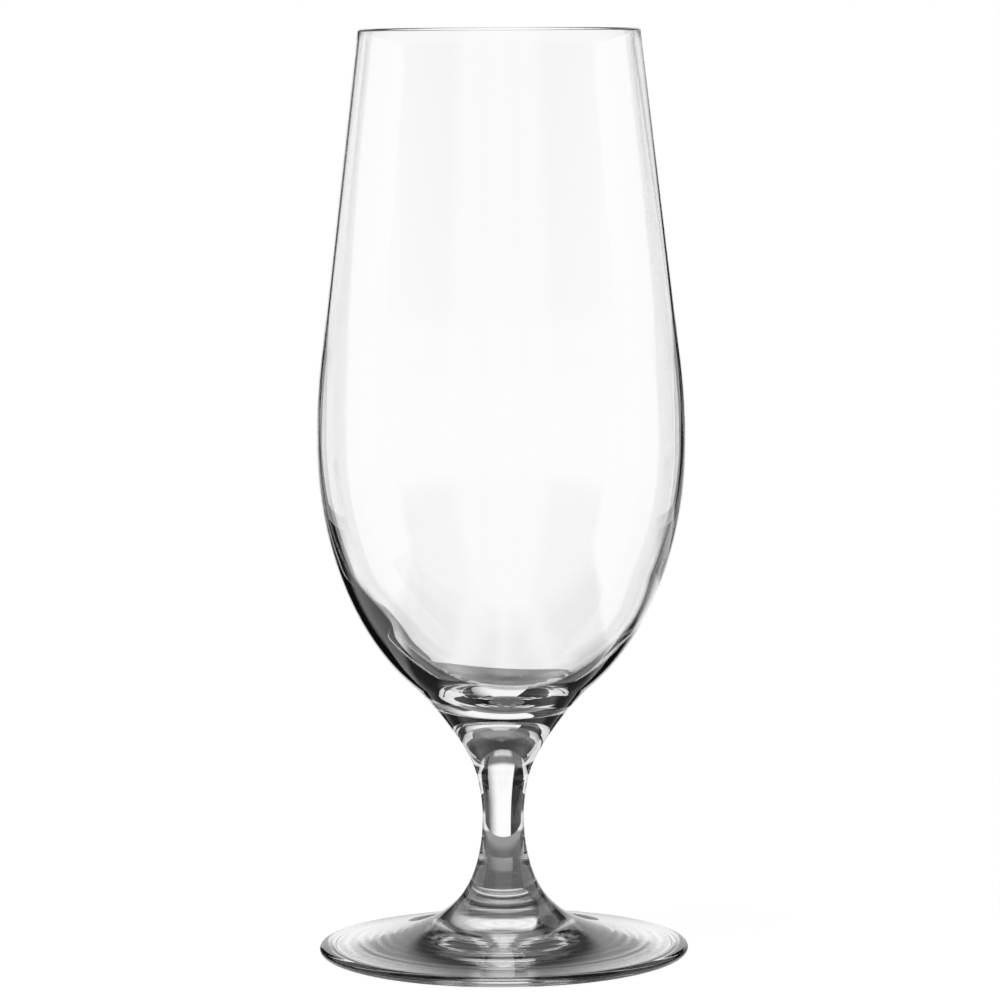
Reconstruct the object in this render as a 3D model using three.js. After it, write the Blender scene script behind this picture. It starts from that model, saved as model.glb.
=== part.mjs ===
import * as THREE from 'three';

// Stemmed beer glass: a blown tulip bowl, a short drawn stem and a pressed foot of clear glass, fused end to
// end. Millimetres, +Z up, origin on the table under the middle of the foot.

// Bowl: heights run up from the fuse line at its base
const BOWL_HEIGHT = 148.5;
const RIM_RADIUS = 28;
const LIP_WALL = 1.0;
const BELLY_HEIGHT = 66.8;
const BELLY_RADIUS = 36.7;
const BELLY_WALL = 1.35;
// The straight side, carried on down, would meet the belly's width this far above the widest line
const OUTER_SHOULDER_RISE = 9.1;
const INNER_SHOULDER_RISE = 12.5;
// Below the belly the outside is an ellipse of this half height, left at this angle for a hollow flare
const LOWER_BOWL_DEPTH = 56;
const FLARE_TURN = THREE.MathUtils.degToRad(61.3);
const FLARE_UPPER_REACH = 2.8;
const FLARE_LOWER_REACH = 6.4;
// Glass under the inside bottom, down to where the ellipse would have closed
const BASE_WALL = 4.6;

// Stem: a solid rod drawn in to a waist at mid length
const STEM_LENGTH = 18.1;
const WAIST_RADIUS = 4.15;
const WAIST_ARC = 34.7;

// Foot: a cone that spreads to a thin plate with a rolled edge
const FOOT_HEIGHT = 18.4;
const FOOT_RADIUS = 37;
const CONE_REACH = 12.3;
const PLATE_REACH = 17.3;
const PLATE_SLOPE = THREE.MathUtils.degToRad(6.3);
const EDGE_HEIGHT = 1.2;
const EDGE_RISE = 1.0;
const EDGE_ROLL = 1.3;
// Underside: the edge rolls under to a flat ring that stands on the table, round a shallow hollow
const UNDER_ROLL = 2.2;
const REST_RING_WIDTH = 1.4;
const HOLLOW_RISE = 1.6;

// Clear glass reads darker where it is thicker
const BOWL_COLOR = 0xf2f5f5;
const STEM_COLOR = 0xe6eaea;
const FOOT_COLOR = 0xdfe4e4;
const GLASS_ROUGHNESS = 0.03;
const GLASS_OPACITY = 0.35;

// Facets round the axis, and steps along each curve of the profiles
const ROUND_STEPS = 64;
const LIP_STEPS = 6;
const SHOULDER_STEPS = 4;
const BOWL_STEPS = 13;
const FLARE_STEPS = 9;
const WAIST_STEPS = 8;
const PLATE_STEPS = 15;
const EDGE_STEPS = 4;
const HOLLOW_STEPS = 5;

// Radius and flare of the stem's two ends, which the bowl's base and the foot's cone take up
const halfStem = STEM_LENGTH / 2;
const fuseAngle = Math.asin(halfStem / WAIST_ARC);
const fuseRadius = WAIST_RADIUS + WAIST_ARC * (1 - Math.cos(fuseAngle));

function clearGlass(color) {
  return new THREE.MeshStandardMaterial({
    color,
    roughness: GLASS_ROUGHNESS,
    metalness: 0,
    transparent: true,
    opacity: GLASS_OPACITY,
  });
}

function turned(name, profile, color) {
  const geometry = new THREE.LatheGeometry(profile, ROUND_STEPS);
  geometry.rotateX(Math.PI / 2);
  const mesh = new THREE.Mesh(geometry, clearGlass(color));
  mesh.name = name;
  return mesh;
}

// Points along curves laid end to end, each shared end kept once
function joined(...stretches) {
  const points = [];
  for (const [curve, steps] of stretches) {
    const fresh = curve.getPoints(steps);
    points.push(...(points.length ? fresh.slice(1) : fresh));
  }
  return points;
}

function point(radius, height) {
  return new THREE.Vector2(radius, height);
}

function direction(angle) {
  return point(Math.cos(angle), Math.sin(angle));
}

// A curve that leaves one end and reaches the other along given directions
function flowing(start, startWay, startReach, end, endWay, endReach) {
  const first = start.clone().addScaledVector(startWay, startReach);
  const second = end.clone().addScaledVector(endWay, -endReach);
  return new THREE.CubicBezierCurve(start, first, second, end);
}

// Upper wall, from the belly up: a rounded corner, then a straight side that runs into the lip's round
function side(bellyRadius, shoulderRise, lipCentre, lipReach) {
  const corner = point(bellyRadius, BELLY_HEIGHT + shoulderRise);
  const toLip = lipCentre.clone().sub(corner);
  const tilt = toLip.angle() + Math.asin(lipReach / toLip.length());
  const outward = direction(tilt - Math.PI / 2);
  const top = lipCentre.clone().addScaledVector(outward, lipReach);
  const bend = corner.clone().addScaledVector(direction(tilt), shoulderRise);
  const shoulder = new THREE.QuadraticBezierCurve(point(bellyRadius, BELLY_HEIGHT), corner, bend);
  return { shoulder, wall: new THREE.LineCurve(bend, top), outwardAngle: tilt - Math.PI / 2 };
}

function reversed(points) {
  return points.slice().reverse();
}

function bowlProfile() {
  const lipRound = LIP_WALL / 2;
  const lipCentre = point(RIM_RADIUS - lipRound, BOWL_HEIGHT - lipRound);
  const innerBelly = BELLY_RADIUS - BELLY_WALL;
  const innerDepth = LOWER_BOWL_DEPTH - BASE_WALL;
  const outside = side(BELLY_RADIUS, OUTER_SHOULDER_RISE, lipCentre, lipRound);
  const inside = side(innerBelly, INNER_SHOULDER_RISE, lipCentre, -lipRound);

  const round = new THREE.EllipseCurve(0, BELLY_HEIGHT, BELLY_RADIUS, LOWER_BOWL_DEPTH, -FLARE_TURN, 0);
  const flareTop = round.getPoint(0);
  const fuse = point(fuseRadius, 0);
  const fuseWay = direction(Math.PI / 2 - fuseAngle);
  const flare = flowing(fuse, fuseWay, FLARE_LOWER_REACH, flareTop, round.getTangent(0), FLARE_UPPER_REACH);
  const lip = new THREE.EllipseCurve(
    lipCentre.x, lipCentre.y, lipRound, lipRound, outside.outwardAngle, inside.outwardAngle + Math.PI);
  const well = new THREE.EllipseCurve(0, BELLY_HEIGHT, innerBelly, innerDepth, -Math.PI / 2, 0);

  const outer = joined([flare, FLARE_STEPS], [round, BOWL_STEPS], [outside.shoulder, SHOULDER_STEPS],
    [outside.wall, 1], [lip, LIP_STEPS]);
  const inner = joined([well, BOWL_STEPS], [inside.shoulder, SHOULDER_STEPS], [inside.wall, 1]);
  inner[0].x = 0;
  return [point(0, 0), ...outer, ...reversed(inner).slice(1)];
}

function stemProfile() {
  const waist = new THREE.EllipseCurve(
    WAIST_RADIUS + WAIST_ARC, halfStem, WAIST_ARC, WAIST_ARC, Math.PI + fuseAngle, Math.PI - fuseAngle, true);
  return [point(0, 0), ...waist.getPoints(WAIST_STEPS), point(0, STEM_LENGTH)];
}

function footProfile() {
  const ringOuter = FOOT_RADIUS - UNDER_ROLL;
  const ringInner = ringOuter - REST_RING_WIDTH;
  const hollowArc = (ringInner ** 2 + HOLLOW_RISE ** 2) / (2 * HOLLOW_RISE);
  const hollowSpan = Math.asin(ringInner / hollowArc);
  const hollow = new THREE.EllipseCurve(
    0, HOLLOW_RISE - hollowArc, hollowArc, hollowArc, Math.PI / 2, Math.PI / 2 - hollowSpan, true);
  const ring = new THREE.LineCurve(point(ringInner, 0), point(ringOuter, 0));
  const under = new THREE.EllipseCurve(ringOuter, EDGE_HEIGHT, UNDER_ROLL, EDGE_HEIGHT, -Math.PI / 2, 0);
  const edgeTurn = Math.atan2(EDGE_RISE, EDGE_ROLL * Math.tan(PLATE_SLOPE));
  const edge = new THREE.EllipseCurve(
    FOOT_RADIUS - EDGE_ROLL, EDGE_HEIGHT, EDGE_ROLL, EDGE_RISE, 0, edgeTurn);
  const fuse = point(fuseRadius, FOOT_HEIGHT);
  const fuseWay = direction(Math.PI / 2 + fuseAngle);
  const plateWay = direction(Math.PI - PLATE_SLOPE);
  const plate = flowing(edge.getPoint(1), plateWay, PLATE_REACH, fuse, fuseWay, CONE_REACH);

  const points = joined([hollow, HOLLOW_STEPS], [ring, 1], [under, EDGE_STEPS], [edge, EDGE_STEPS],
    [plate, PLATE_STEPS]);
  points[0].x = 0;
  return [...points, point(0, FOOT_HEIGHT)];
}

const glass = new THREE.Group();

const foot = turned('foot', footProfile(), FOOT_COLOR);
glass.add(foot);

const stem = turned('stem', stemProfile(), STEM_COLOR);
stem.position.z = FOOT_HEIGHT;
glass.add(stem);

const bowl = turned('bowl', bowlProfile(), BOWL_COLOR);
bowl.position.z = FOOT_HEIGHT + STEM_LENGTH;
glass.add(bowl);

export default glass;
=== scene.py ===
import math

import bpy
from mathutils import Matrix, Vector


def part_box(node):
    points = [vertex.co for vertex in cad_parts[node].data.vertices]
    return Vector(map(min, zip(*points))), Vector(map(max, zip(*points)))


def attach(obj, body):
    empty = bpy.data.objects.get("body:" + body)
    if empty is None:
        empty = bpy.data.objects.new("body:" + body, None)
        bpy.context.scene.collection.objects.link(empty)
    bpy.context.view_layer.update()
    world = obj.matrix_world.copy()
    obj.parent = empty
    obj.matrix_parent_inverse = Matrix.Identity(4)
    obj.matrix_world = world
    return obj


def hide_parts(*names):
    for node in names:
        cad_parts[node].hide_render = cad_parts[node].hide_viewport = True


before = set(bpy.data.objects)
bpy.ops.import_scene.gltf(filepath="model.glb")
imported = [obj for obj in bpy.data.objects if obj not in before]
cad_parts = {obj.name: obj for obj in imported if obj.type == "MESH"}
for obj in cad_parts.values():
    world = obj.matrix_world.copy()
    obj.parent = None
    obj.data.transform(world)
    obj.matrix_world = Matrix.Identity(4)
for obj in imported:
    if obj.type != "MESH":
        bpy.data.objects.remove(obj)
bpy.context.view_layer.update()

# Foot
# The foot is pressed from its own gather of clear glass: a low cone, fused to the stem, that spreads to a
# plate with a rolled edge. Its underside is a slight hollow inside a narrow ring that it stands on. The press
# left faint ripples and satin rings in the hollow, and a fine groove along both borders of the ring.
MM = 0.001
foot_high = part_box("foot")[1]
foot_radius = foot_high.x
foot_top = foot_high.z

# The fused face takes its radius and slope from the end of the stem's waist
stem_low, stem_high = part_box("stem")
stem_length = stem_high.z - stem_low.z
waist_radius = 4.15 * MM
waist_arc = 34.7 * MM
fuse_angle = math.asin(stem_length / 2 / waist_arc)
fuse_radius = waist_radius + waist_arc * (1 - math.cos(fuse_angle))

cone_reach = 12.3 * MM
plate_reach = 17.3 * MM
plate_slope = math.radians(6.3)
edge_height = 1.2 * MM
edge_rise = 1.0 * MM
edge_roll = 1.3 * MM
under_roll = 2.2 * MM
rest_ring_width = 1.4 * MM
groove_width = 0.35 * MM
groove_depth = 0.06 * MM
hollow_rise = 1.6 * MM
ripple_height = 0.006 * MM
ripple_length = 1.7 * MM
long_ripple_length = 2.9 * MM
long_ripple_share = 0.7
ripple_start, ripple_full = 6 * MM, 11 * MM
ripple_fade, ripple_end = 27 * MM, 32 * MM

round_steps = 192
hollow_steps = 140
rest_ring_steps = 32
edge_steps = 12
plate_steps = 80

# The glass is not quite even: a thin film dulls it in patches, and its surface has swells and fine streaks
glass_tint = (0.998, 0.999, 0.999, 1)
glass_ior = 1.52
film_length = 3 * MM
film_detail = 3
film_start, film_full = 0.4, 0.7
film_roughness = 0.02
swell_length = 18 * MM
swell_height = 0.003 * MM
swell_detail = 1
streak_length = 5 * MM
streak_detail = 2
streak_swirl = 1.5
foot_streak_height = 0.006 * MM

press_ring_length = 2.4 * MM
press_ring_detail = 2
press_ring_swirl = 2.5
satin_least, satin_most = 0.05, 0.16
# The ring pattern repeats over this length at a scale of one
pattern_length = 2 * math.pi / 20

GLASS, FUSED, PRESSED = 0, 1, 2


def toward(angle):
    return Vector((math.cos(angle), math.sin(angle)))


def line(start, end, steps):
    return [start.lerp(end, i / steps) for i in range(steps + 1)]


def arc(centre, radii, first, last, steps):
    angles = [first + (last - first) * i / steps for i in range(steps + 1)]
    return [centre + Vector((radii[0] * math.cos(a), radii[1] * math.sin(a))) for a in angles]


def curve(start, second, third, end, steps):
    points = []
    for i in range(steps + 1):
        t = i / steps
        u = 1 - t
        points.append(u**3 * start + 3 * u * u * t * second + 3 * u * t * t * third + t**3 * end)
    return points


def ease(value, start, end):
    share = min(max((value - start) / (end - start), 0), 1)
    return share * share * (3 - 2 * share)


def turned(name, stretches):
    """A body of revolution. Each stretch is (points, material slot), laid end to end from axis to axis."""
    on_axis = 1e-7
    profile = [stretches[0][0][0]]
    slots = []
    corners = []
    for points, slot in stretches:
        corners.append(len(profile) - 1)
        profile += points[1:]
        slots += [slot] * (len(points) - 1)

    verts = []
    rings = []
    for p in profile:
        start = len(verts)
        if p.x < on_axis:
            verts.append((0, 0, p.y))
            rings.append([start] * round_steps)
            continue
        for k in range(round_steps):
            a = 2 * math.pi * k / round_steps
            verts.append((p.x * math.cos(a), p.x * math.sin(a), p.y))
        rings.append(list(range(start, start + round_steps)))

    faces = []
    face_slots = []
    for low, high, slot in zip(rings, rings[1:], slots):
        for k in range(round_steps):
            n = (k + 1) % round_steps
            corner = [low[k], low[n], high[n], high[k]]
            faces.append(list(dict.fromkeys(corner)))
            face_slots.append(slot)
    mesh = bpy.data.meshes.new(name)
    mesh.from_pydata(verts, [], faces)
    mesh.polygons.foreach_set("material_index", face_slots)
    mesh.polygons.foreach_set("use_smooth", [True] * len(faces))

    sharp = set()
    for c in corners[1:]:
        for k in range(round_steps):
            sharp.add(frozenset((rings[c][k], rings[c][(k + 1) % round_steps])))
    for mesh_edge in mesh.edges:
        if frozenset(mesh_edge.vertices) in sharp:
            mesh_edge.use_edge_sharp = True
    mesh.update()
    piece = bpy.data.objects.new(name, mesh)
    bpy.context.collection.objects.link(piece)
    return piece


def clear_glass(name, streak_height):
    material = bpy.data.materials.new(name)
    material.use_nodes = True
    nodes = material.node_tree.nodes
    links = material.node_tree.links
    shader = nodes["Principled BSDF"]
    shader.inputs["Base Color"].default_value = glass_tint
    shader.inputs["IOR"].default_value = glass_ior
    shader.inputs["Transmission Weight"].default_value = 1
    place = nodes.new("ShaderNodeTexCoord")

    def unevenness(length, detail, swirl):
        noise = nodes.new("ShaderNodeTexNoise")
        noise.inputs["Scale"].default_value = 1 / length
        noise.inputs["Detail"].default_value = detail
        noise.inputs["Distortion"].default_value = swirl
        links.new(place.outputs["Object"], noise.inputs["Vector"])
        return noise.outputs["Fac"]

    def bump(pattern, height, below=None):
        node = nodes.new("ShaderNodeBump")
        node.inputs["Distance"].default_value = height
        links.new(pattern, node.inputs["Height"])
        if below:
            links.new(below, node.inputs["Normal"])
        return node.outputs["Normal"]

    film = nodes.new("ShaderNodeMapRange")
    film.inputs["From Min"].default_value = film_start
    film.inputs["From Max"].default_value = film_full
    film.inputs["To Max"].default_value = film_roughness
    links.new(unevenness(film_length, film_detail, 0), film.inputs["Value"])
    links.new(film.outputs["Result"], shader.inputs["Roughness"])
    swell = bump(unevenness(swell_length, swell_detail, 0), swell_height)
    streaks = bump(unevenness(streak_length, streak_detail, streak_swirl), streak_height, swell)
    links.new(streaks, shader.inputs["Normal"])
    return material


def fused_glass():
    """Glass that has melted together leaves nothing to see between two pieces."""
    material = bpy.data.materials.new("fused_glass")
    material.use_nodes = True
    nodes = material.node_tree.nodes
    nodes.remove(nodes["Principled BSDF"])
    clear = nodes.new("ShaderNodeBsdfTransparent")
    material.node_tree.links.new(clear.outputs["BSDF"], nodes["Material Output"].inputs["Surface"])
    return material


def pressed_glass():
    """Clear glass whose sheen changes in the rings that the press left."""
    material = clear_glass("foot_underside", foot_streak_height)
    nodes = material.node_tree.nodes
    links = material.node_tree.links
    rings = nodes.new("ShaderNodeTexWave")
    rings.wave_type = "RINGS"
    rings.rings_direction = "Z"
    rings.inputs["Scale"].default_value = pattern_length / press_ring_length
    rings.inputs["Distortion"].default_value = press_ring_swirl
    rings.inputs["Detail"].default_value = press_ring_detail
    links.new(nodes["Texture Coordinate"].outputs["Object"], rings.inputs["Vector"])
    satin = nodes.new("ShaderNodeMapRange")
    satin.inputs["To Min"].default_value = satin_least
    satin.inputs["To Max"].default_value = satin_most
    links.new(rings.outputs["Fac"], satin.inputs["Value"])
    links.new(satin.outputs["Result"], nodes["Principled BSDF"].inputs["Roughness"])
    return material


ring_outer = foot_radius - under_roll
ring_inner = ring_outer - rest_ring_width
hollow_arc = (ring_inner**2 + hollow_rise**2) / (2 * hollow_rise)
hollow_span = math.asin(ring_inner / hollow_arc)
hollow = arc(Vector((0, hollow_rise - hollow_arc)), (hollow_arc, hollow_arc),
             math.pi / 2, math.pi / 2 - hollow_span, hollow_steps)
hollow[0].x = 0
for p in hollow:
    share = ease(p.x, ripple_start, ripple_full) * ease(p.x, ripple_end, ripple_fade)
    short_wave = math.sin(2 * math.pi * p.x / ripple_length)
    long_wave = math.sin(2 * math.pi * p.x / long_ripple_length)
    p.y += ripple_height * share * (short_wave + long_ripple_share * long_wave)

rest_ring = line(Vector((ring_inner, 0)), Vector((ring_outer, 0)), rest_ring_steps)
for p in rest_ring:
    from_border = min(p.x - ring_inner, ring_outer - p.x)
    if from_border < groove_width:
        p.y = groove_depth * math.sin(math.pi * from_border / groove_width)**2

under_edge = arc(Vector((ring_outer, edge_height)), (under_roll, edge_height), -math.pi / 2, 0, edge_steps)
edge_turn = math.atan2(edge_rise, edge_roll * math.tan(plate_slope))
edge = arc(Vector((foot_radius - edge_roll, edge_height)), (edge_roll, edge_rise), 0, edge_turn, edge_steps)
plate_start = edge[-1]
foot_fuse = Vector((fuse_radius, foot_top))
plate = curve(plate_start, plate_start + plate_reach * toward(math.pi - plate_slope),
              foot_fuse - cone_reach * toward(math.pi / 2 + fuse_angle), foot_fuse, plate_steps)
foot_skin = under_edge + edge[1:] + plate[1:]
foot_face = line(foot_fuse, Vector((0, foot_top)), 1)

foot = turned("foot_glass", [(hollow, PRESSED), (rest_ring, GLASS), (foot_skin, GLASS), (foot_face, FUSED)])
fused = fused_glass()
foot.data.materials.append(clear_glass("foot_glass", foot_streak_height))
foot.data.materials.append(fused)
foot.data.materials.append(pressed_glass())
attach(foot, "root")
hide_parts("foot")

# Stem
# The stem is a short solid rod of clear glass, drawn while hot to a waist at mid length, so that its sides
# are one hollow arc. It is fused to the foot below and to the bowl above.
stem_mid = (stem_low.z + stem_high.z) / 2
waist_steps = 40
stem_streak_height = 0.004 * MM

stem_foot_face = line(Vector((0, stem_low.z)), Vector((fuse_radius, stem_low.z)), 1)
waist = arc(Vector((waist_radius + waist_arc, stem_mid)), (waist_arc, waist_arc),
            math.pi + fuse_angle, math.pi - fuse_angle, waist_steps)
stem_bowl_face = line(Vector((fuse_radius, stem_high.z)), Vector((0, stem_high.z)), 1)

stem = turned("stem_glass", [(stem_foot_face, FUSED), (waist, GLASS), (stem_bowl_face, FUSED)])
stem.data.materials.append(clear_glass("stem_glass", stem_streak_height))
stem.data.materials.append(fused)
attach(stem, "root")
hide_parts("stem")

# Bowl
# The bowl is blown in a mould: thin at the lip, which is melted round by a flame, and thicker downwards, to a
# solid base that flares into the stem, where it is fused. The bottom of its well set slightly out of level.
bowl_low, bowl_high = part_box("bowl")
bowl_base = bowl_low.z
rim_height = bowl_high.z
rim_radius = 28 * MM
lip_wall = 1.0 * MM
belly_radius = bowl_high.x
belly_height = bowl_base + 66.8 * MM
belly_wall = 1.35 * MM
outer_shoulder_rise = 9.1 * MM
inner_shoulder_rise = 12.5 * MM
lower_bowl_depth = 56 * MM
flare_turn = math.radians(61.3)
flare_upper_reach = 2.8 * MM
flare_lower_reach = 6.4 * MM
base_wall = 4.6 * MM
well_tilt = 0.045
well_tilt_top = 78 * MM
well_tilt_fade = 12 * MM
bowl_streak_height = 0.0008 * MM

side_steps = 24
lip_steps = 16
lower_bowl_steps = 60
flare_steps = 50
well_steps = 80

lip_round = lip_wall / 2
lip_centre = Vector((rim_radius - lip_round, rim_height - lip_round))


def bowl_side(radius, shoulder_rise, lip_reach):
    """The side from the belly up, a rounded shoulder and then straight to the lip, and how it faces there."""
    corner = Vector((radius, belly_height + shoulder_rise))
    to_lip = lip_centre - corner
    tilt = math.atan2(to_lip.y, to_lip.x) + math.asin(lip_reach / to_lip.length)
    outward = tilt - math.pi / 2
    top = lip_centre + lip_reach * toward(outward)
    bend = corner + shoulder_rise * toward(tilt)
    belly = Vector((radius, belly_height))
    shoulder = curve(belly, belly.lerp(corner, 2 / 3), bend.lerp(corner, 2 / 3), bend, side_steps)
    return shoulder + line(bend, top, side_steps)[1:], outward


belly_centre = Vector((0, belly_height))
inner_belly_radius = belly_radius - belly_wall
outer_side, outer_lean = bowl_side(belly_radius, outer_shoulder_rise, lip_round)
inner_side, inner_lean = bowl_side(inner_belly_radius, inner_shoulder_rise, -lip_round)
lip = arc(lip_centre, (lip_round, lip_round), outer_lean, inner_lean + math.pi, lip_steps)
lower_bowl = arc(belly_centre, (belly_radius, lower_bowl_depth), -flare_turn, 0, lower_bowl_steps)
well = arc(belly_centre, (inner_belly_radius, lower_bowl_depth - base_wall), 0, -math.pi / 2, well_steps)
well[-1].x = 0

flare_top = lower_bowl[0]
flare_way = Vector((belly_radius * math.sin(flare_turn), lower_bowl_depth * math.cos(flare_turn)))
flare_way.normalize()
bowl_fuse = Vector((fuse_radius, bowl_base))
flare = curve(bowl_fuse, bowl_fuse + flare_lower_reach * toward(math.pi / 2 - fuse_angle),
              flare_top - flare_upper_reach * flare_way, flare_top, flare_steps)
bowl_face = line(Vector((0, bowl_base)), bowl_fuse, 1)
bowl_skin = flare + lower_bowl[1:] + outer_side[1:] + lip[1:] + inner_side[::-1][1:] + well[1:]

bowl = turned("bowl_glass", [(bowl_face, FUSED), (bowl_skin, GLASS)])
well_vertices = round_steps * well_steps + 1
for v in bowl.data.vertices[-well_vertices:]:
    v.co.z -= well_tilt * v.co.x * ease(v.co.z, well_tilt_top, well_tilt_top - well_tilt_fade)
bowl.data.materials.append(clear_glass("bowl_glass", bowl_streak_height))
bowl.data.materials.append(fused)
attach(bowl, "root")
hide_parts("bowl")

# Table
# A pale table top, just under the foot, with its back edge close behind the glass. Straight on it is white.
# In the glass it shows painted shade round the foot, a glow set by place: dark in the middle, dim at the
# back, paler to both sides and in a narrow gap at the front, and white farther out.
table_left, table_right = -600 * MM, 600 * MM
table_front, table_back = -900 * MM, 81 * MM
table_drop = 0.2 * MM
table_grey = (0.2, 0.2, 0.2, 1)
table_glow = 0.95

# Glow levels of the painted shade and the painted lighter zones that the glass shows on the table
shade_dark, shade_dim = 0.12, 0.29
shade_back = (45 * MM, 65 * MM)
lobe_light = 0.73
lobe_inner_edge = (8 * MM, 32 * MM)
lobe_outer_edge = (36 * MM, 46 * MM)
lobe_back_edge = (16 * MM, 32 * MM)
gap_light = 0.5
gap_side_edge = (4 * MM, 8 * MM)
gap_back_edge = (-26 * MM, -20 * MM)
open_light = 0.85
open_side_edge = (88 * MM, 104 * MM)
open_side_slant = 0.6
open_front_edge = (-75 * MM, -60 * MM)


def feed(tree, socket, value):
    if isinstance(value, (int, float)):
        socket.default_value = value
    else:
        tree.links.new(value, socket)


def soft_step(tree, value, span, low=0.0, high=1.0):
    step = tree.nodes.new("ShaderNodeMapRange")
    step.interpolation_type = "SMOOTHSTEP"
    step.inputs["From Min"].default_value = span[0]
    step.inputs["From Max"].default_value = span[1]
    step.inputs["To Min"].default_value = low
    step.inputs["To Max"].default_value = high
    tree.links.new(value, step.inputs["Value"])
    return step.outputs["Result"]


def maths(tree, operation, *values):
    node = tree.nodes.new("ShaderNodeMath")
    node.operation = operation
    for socket, value in zip(node.inputs, values):
        feed(tree, socket, value)
    return node.outputs["Value"]


def blend(tree, share, first, second):
    node = tree.nodes.new("ShaderNodeMix")
    feed(tree, node.inputs[0], share)
    feed(tree, node.inputs[2], first)
    feed(tree, node.inputs[3], second)
    return node.outputs[0]


def seen_two_ways(tree, in_glass, straight_on):
    """One shader for what the glass shows, another for what is seen straight on."""
    path = tree.nodes.new("ShaderNodeLightPath")
    mix = tree.nodes.new("ShaderNodeMixShader")
    tree.links.new(path.outputs["Is Camera Ray"], mix.inputs["Fac"])
    tree.links.new(in_glass, mix.inputs[1])
    tree.links.new(straight_on, mix.inputs[2])
    return mix.outputs["Shader"]


bpy.ops.mesh.primitive_plane_add(size=1)
table = bpy.context.object
table.name = "table"
table.location = ((table_left + table_right) / 2, (table_front + table_back) / 2, -table_drop)
table.scale = (table_right - table_left, table_back - table_front, 1)

paint = bpy.data.materials.new("table_white_painted_shade")
paint.use_nodes = True
tree = paint.node_tree
tree.nodes.remove(tree.nodes["Principled BSDF"])
place = tree.nodes.new("ShaderNodeNewGeometry")
split = tree.nodes.new("ShaderNodeSeparateXYZ")
tree.links.new(place.outputs["Position"], split.inputs["Vector"])
off_axis = maths(tree, "ABSOLUTE", split.outputs["X"])
backward = split.outputs["Y"]

# Painted shade round the foot: the glow the glass shows is set by place, not cast by any lamp
lobe = maths(tree, "MULTIPLY", soft_step(tree, off_axis, lobe_inner_edge),
             soft_step(tree, off_axis, lobe_outer_edge, 1, 0))
lobe = maths(tree, "MULTIPLY", lobe, soft_step(tree, backward, lobe_back_edge, 1, 0))
gap = maths(tree, "MULTIPLY", soft_step(tree, off_axis, gap_side_edge, gap_light, 0),
            soft_step(tree, backward, gap_back_edge, 1, 0))
shade = soft_step(tree, backward, shade_back, shade_dark, shade_dim)
shade = maths(tree, "MULTIPLY_ADD", lobe, lobe_light, shade)
shade = maths(tree, "ADD", shade, gap)
slanted = maths(tree, "MULTIPLY_ADD", backward, open_side_slant, off_axis)
open_table = maths(tree, "MAXIMUM", soft_step(tree, slanted, open_side_edge),
                   soft_step(tree, backward, open_front_edge, 1, 0))
in_glass = tree.nodes.new("ShaderNodeEmission")
tree.links.new(blend(tree, open_table, shade, open_light), in_glass.inputs["Strength"])

diffuse = tree.nodes.new("ShaderNodeBsdfDiffuse")
diffuse.inputs["Color"].default_value = table_grey
glow = tree.nodes.new("ShaderNodeEmission")
glow.inputs["Strength"].default_value = table_glow
straight_on = tree.nodes.new("ShaderNodeAddShader")
tree.links.new(diffuse.outputs["BSDF"], straight_on.inputs[0])
tree.links.new(glow.outputs["Emission"], straight_on.inputs[1])
surface = seen_two_ways(tree, in_glass.outputs["Emission"], straight_on.outputs["Shader"])
tree.links.new(surface, tree.nodes["Material Output"].inputs["Surface"])
table.data.materials.append(paint)

# Side cards
# Two white cards stand close beside the bowl, out of the picture, their back edges cut to follow its side,
# and two wide ones farther off. They are no lamps and are not lit: they glow by their own emission, seen only
# in the glass. The bowl's sides reflect them, and the dark between and behind them draws its edges. A slanted
# black flag behind the bowl's right side draws the edge there.
card_light = 0.9
near_card_aside = 100 * MM
far_card_aside = 300 * MM
far_card_front, far_card_back = -60 * MM, 260 * MM
far_card_low, far_card_high = 60 * MM, 230 * MM
near_card_low, near_card_high = 63 * MM, 210 * MM
near_card_low_front, near_card_high_front = 34 * MM, 75 * MM
near_card_belly, near_card_shoulder = 92.5 * MM, 138 * MM
# How far back each near card reaches at its foot, at the belly, at the shoulder and at its top
near_card_backs = {"left": (113 * MM, 130 * MM, 155 * MM, 165 * MM),
                   "right": (100 * MM, 110 * MM, 165 * MM, 175 * MM)}
flag_back = 180 * MM
flag_low, flag_high = 45 * MM, 190 * MM
flag_low_left, flag_low_right = 88 * MM, 165 * MM
flag_high_left, flag_high_right = 60.3 * MM, 70 * MM
flag_grey = (0.01, 0.01, 0.01, 1)

# Painted light: the cards glow by emission instead of being lit
glowing_card_white = bpy.data.materials.new("glowing_card_white")
glowing_card_white.use_nodes = True
tree = glowing_card_white.node_tree
tree.nodes.remove(tree.nodes["Principled BSDF"])
shine = tree.nodes.new("ShaderNodeEmission")
shine.inputs["Strength"].default_value = card_light
tree.links.new(shine.outputs["Emission"], tree.nodes["Material Output"].inputs["Surface"])

flag_black = bpy.data.materials.new("flag_black")
flag_black.use_nodes = True
cloth = flag_black.node_tree.nodes["Principled BSDF"]
cloth.inputs["Base Color"].default_value = flag_grey
cloth.inputs["Roughness"].default_value = 1


def card(name, corners, material):
    mesh = bpy.data.meshes.new(name)
    mesh.from_pydata(corners, [], [range(len(corners))])
    mesh.materials.append(material)
    sheet = bpy.data.objects.new(name, mesh)
    bpy.context.collection.objects.link(sheet)
    sheet.visible_camera = False
    sheet.visible_shadow = False
    sheet.visible_diffuse = False


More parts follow.
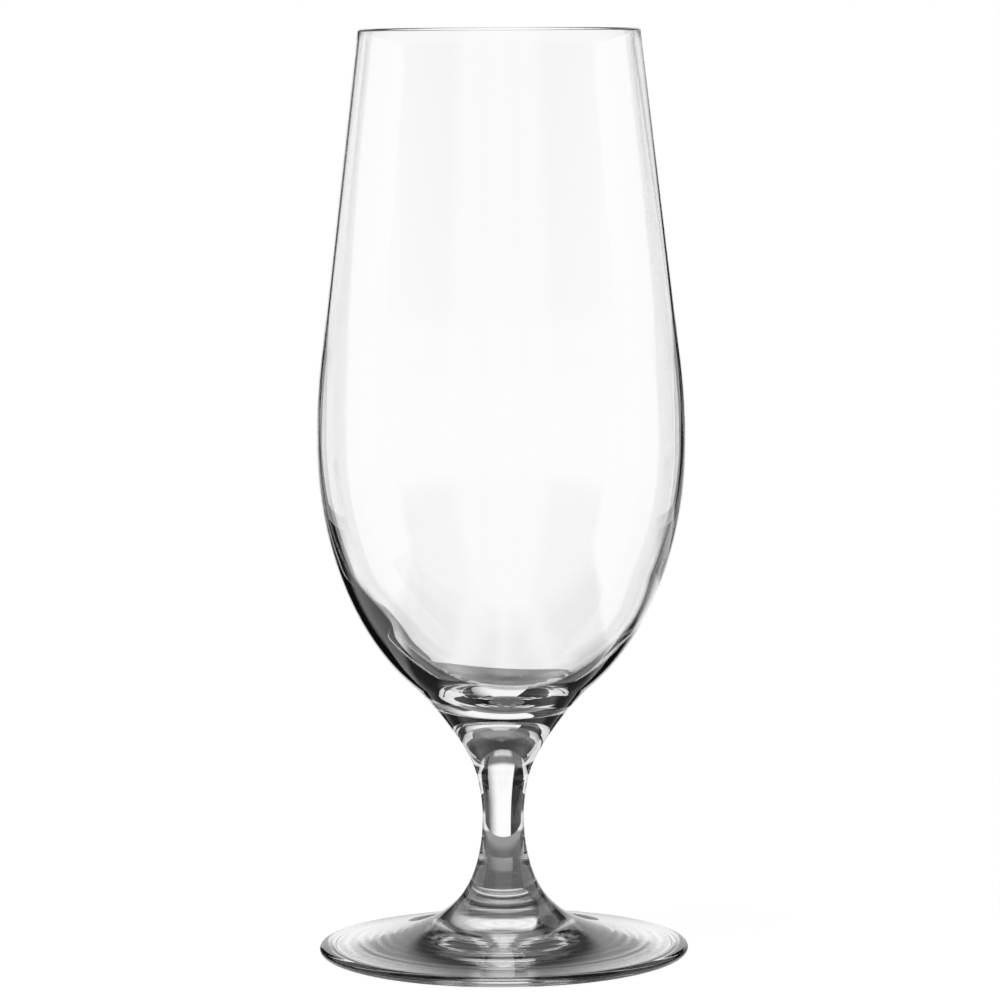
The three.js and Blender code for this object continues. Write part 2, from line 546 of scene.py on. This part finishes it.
far_card = [(far_card_front, far_card_low), (far_card_back, far_card_low),
            (far_card_back, far_card_high), (far_card_front, far_card_high)]
near_card_heights = (near_card_low, near_card_belly, near_card_shoulder, near_card_high)
for name, hand in (("left", -1), ("right", 1)):
    near_card = [(near_card_low_front, near_card_low), *zip(near_card_backs[name], near_card_heights),
                 (near_card_high_front, near_card_high)]
    card(name + "_near_card", [(hand * near_card_aside, y, z) for y, z in near_card], glowing_card_white)
    card(name + "_far_card", [(hand * far_card_aside, y, z) for y, z in far_card], glowing_card_white)
card("flag", [(flag_low_left, flag_back, flag_low), (flag_low_right, flag_back, flag_low),
              (flag_high_right, flag_back, flag_high), (flag_high_left, flag_back, flag_high)], flag_black)

# Light
# A white studio: a bright panel behind the glass between dark walls, white low down, under a dim ceiling
# with a bright strip. The camera's side is white low down and dark above, with one wide soft light. A softbox
# over the table lights it from the left. Straight on, the background is plain white.

# Angles in degrees: aside is from straight behind the glass, upward is from level
panel_left_edge = (14.9, 16.1)
panel_right_edge = (15, 17.5)
panel_right_fade = (8, 38)
panel_fade_height = (-22, -16)
panel_lean = 0.06
panel_lean_at_level = 0.12
wall_dark, wall_white = 0.012, 0.9
near_floor_top, near_floor_aside = (-14, -22), (30, 40)
far_floor_top, far_floor_aside = (-4.5, -8.5), (47, 56)
ceiling_edge = (22, 28)
ceiling_fade = (25, 70)
ceiling_middle, ceiling_ends = 0.18, 0.07
strip_light = 0.6
strip_low_edge, strip_high_edge = (33, 39), (60, 66)
strip_side_edge = (9, 15)
front_edge = (76, 84)
front_floor_top = (5, 14)
front_white, front_dark = 0.85, 0.05
front_light = 0.6
front_light_side, front_light_top = (140, 155), (62, 70)
softbox_size = 0.6
softbox_watts = 3
softbox_place = Vector((-0.4, -0.3, 1.0))
white_level = (1, 1, 1, 1)

world = bpy.data.worlds.new("studio")
bpy.context.scene.world = world
world.use_nodes = True
tree = world.node_tree
tree.nodes.clear()


def between(value, span, low=0.0, high=1.0):
    return soft_step(tree, value, (math.radians(span[0]), math.radians(span[1])), low, high)


coords = tree.nodes.new("ShaderNodeTexCoord")
split = tree.nodes.new("ShaderNodeSeparateXYZ")
tree.links.new(coords.outputs["Generated"], split.inputs["Vector"])
leftward = maths(tree, "MULTIPLY", split.outputs["X"], -1)
to_left = maths(tree, "ARCTAN2", leftward, split.outputs["Y"])
to_right = maths(tree, "MULTIPLY", to_left, -1)
aside = maths(tree, "ABSOLUTE", to_left)
upward = maths(tree, "ARCSINE", split.outputs["Z"])

lean = maths(tree, "MULTIPLY_ADD", upward, panel_lean, math.radians(panel_lean_at_level))
left_edge = between(maths(tree, "SUBTRACT", to_left, lean), panel_left_edge, 1, 0)
right_edge = between(maths(tree, "SUBTRACT", to_right, lean), panel_right_edge, 1, 0)
right_fade = between(to_right, panel_right_fade, 1, 0)
right = blend(tree, between(upward, panel_fade_height), right_edge, right_fade)
panel = maths(tree, "MINIMUM", left_edge, right)

near_floor = maths(tree, "MULTIPLY", between(upward, near_floor_top), between(aside, near_floor_aside))
far_floor = maths(tree, "MULTIPLY", between(upward, far_floor_top), between(aside, far_floor_aside))
walls = blend(tree, maths(tree, "MAXIMUM", near_floor, far_floor), wall_dark, wall_white)
strip = maths(tree, "MULTIPLY", between(upward, strip_low_edge), between(upward, strip_high_edge, 1, 0))
strip = maths(tree, "MULTIPLY", strip, between(aside, strip_side_edge, strip_light, 0))
ceiling = maths(tree, "ADD", between(aside, ceiling_fade, ceiling_middle, ceiling_ends), strip)
back = blend(tree, between(upward, ceiling_edge), maths(tree, "MAXIMUM", panel, walls), ceiling)

soft_light = maths(tree, "MULTIPLY", between(aside, front_light_side), between(upward, front_light_top, 1, 0))
front_wall = blend(tree, soft_light, front_dark, front_light)
front = blend(tree, between(upward, front_floor_top), front_white, front_wall)
room = blend(tree, between(aside, front_edge), back, front)

in_glass = tree.nodes.new("ShaderNodeBackground")
in_glass.inputs["Color"].default_value = white_level
tree.links.new(room, in_glass.inputs["Strength"])
straight_on = tree.nodes.new("ShaderNodeBackground")
straight_on.inputs["Color"].default_value = white_level
backdrop = seen_two_ways(tree, in_glass.outputs["Background"], straight_on.outputs["Background"])
out = tree.nodes.new("ShaderNodeOutputWorld")
tree.links.new(backdrop, out.inputs["Surface"])

softbox = bpy.data.lights.new("softbox", "AREA")
softbox.shape = "RECTANGLE"
softbox.size = softbox_size
softbox.size_y = softbox_size
softbox.energy = softbox_watts
lamp = bpy.data.objects.new("softbox", softbox)
lamp.location = softbox_place
lamp.rotation_euler = (-softbox_place).to_track_quat("-Z", "Y").to_euler()
lamp.visible_glossy = False
lamp.visible_transmission = False
bpy.context.collection.objects.link(lamp)

# Camera
# A long lens about a metre before the glass, just above the height of its lip. It looks down by six degrees,
# so that the mouth and the foot show as flat ovals.
film_width = 36
lens_length = 179.64
camera_place = (0, -0.9889, 0.1939)
camera_turn = 0.0003
camera_dip = 0.10321
camera_roll = -0.0055

camera_data = bpy.data.cameras.new("camera")
camera_data.sensor_width = film_width
camera_data.lens = lens_length
camera = bpy.data.objects.new("camera", camera_data)
bpy.context.collection.objects.link(camera)
camera.matrix_world = (Matrix.Translation(camera_place)
                       @ Matrix.Rotation(camera_turn, 4, "Z")
                       @ Matrix.Rotation(math.pi / 2 - camera_dip, 4, "X")
                       @ Matrix.Rotation(camera_roll, 4, "Z"))
bpy.context.scene.camera = camera
bpy.context.scene.view_settings.view_transform = "Standard"
